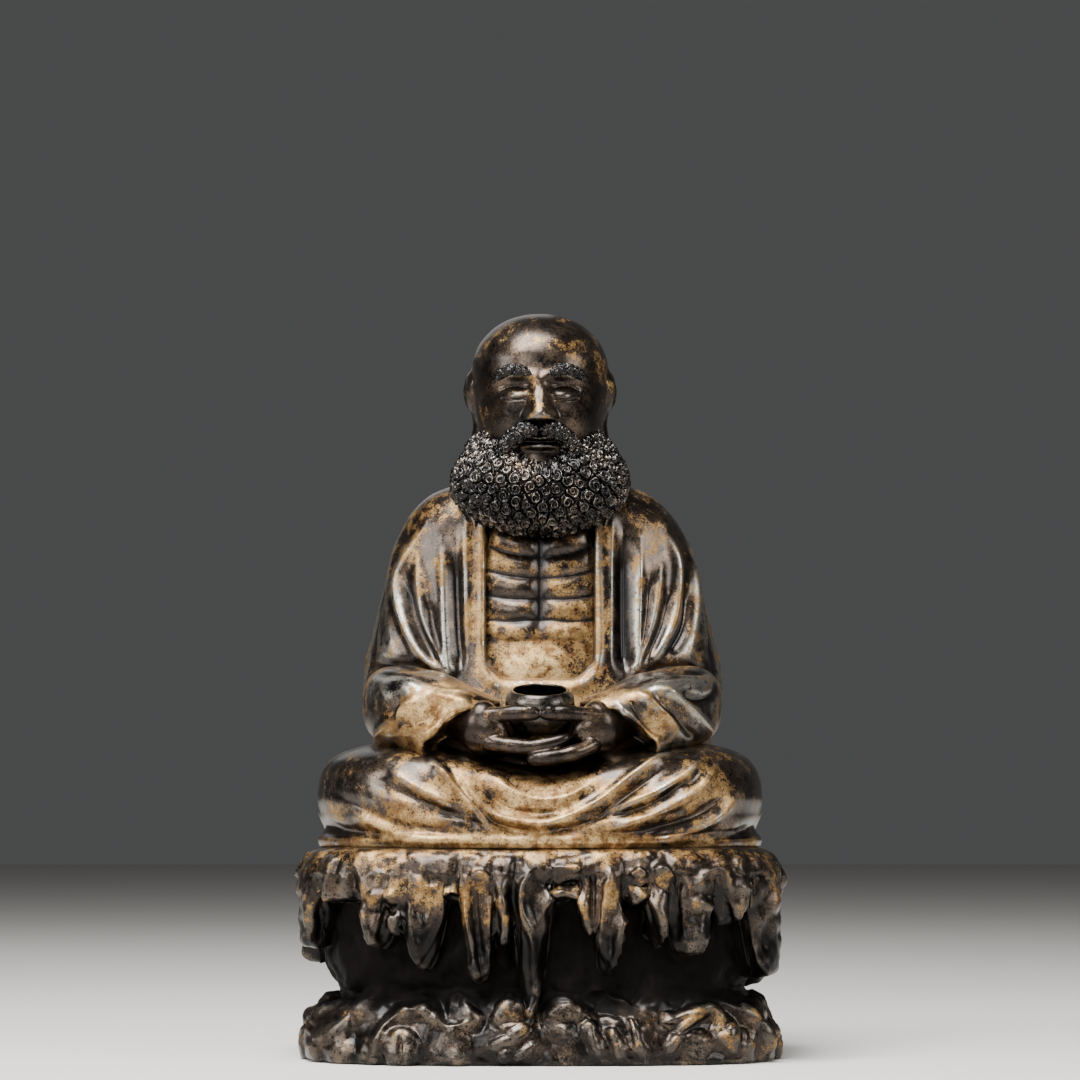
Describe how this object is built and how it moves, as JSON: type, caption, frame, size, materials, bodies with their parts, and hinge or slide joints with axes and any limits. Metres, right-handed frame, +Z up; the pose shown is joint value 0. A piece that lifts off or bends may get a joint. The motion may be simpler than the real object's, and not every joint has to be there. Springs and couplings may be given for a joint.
{
  "type": "seated bodhidharma statue",
  "caption": "Cast brass statue of a bearded monk in meditation, holding an alms bowl, on a rock seat hung with drips of stone.",
  "frame": {"origin": "middle of the flat underside of the rock seat", "axes": "+Z up through the head, -Y the way the figure faces, +X to the figure's left hand side"},
  "size_m": [0.1304, 0.0918, 0.2],
  "materials": {
    "gilded_lacquered_brass": "worn gilding over dark brown lacquer, satin",
    "dark_brass": "dark brown lacquer, satin"
  },
  "bodies": {
    "root": {"monk_figure": "gilded_lacquered_brass", "alms_bowl": "dark_brass", "rock_seat": "gilded_lacquered_brass"}
  },
  "joints": []
}
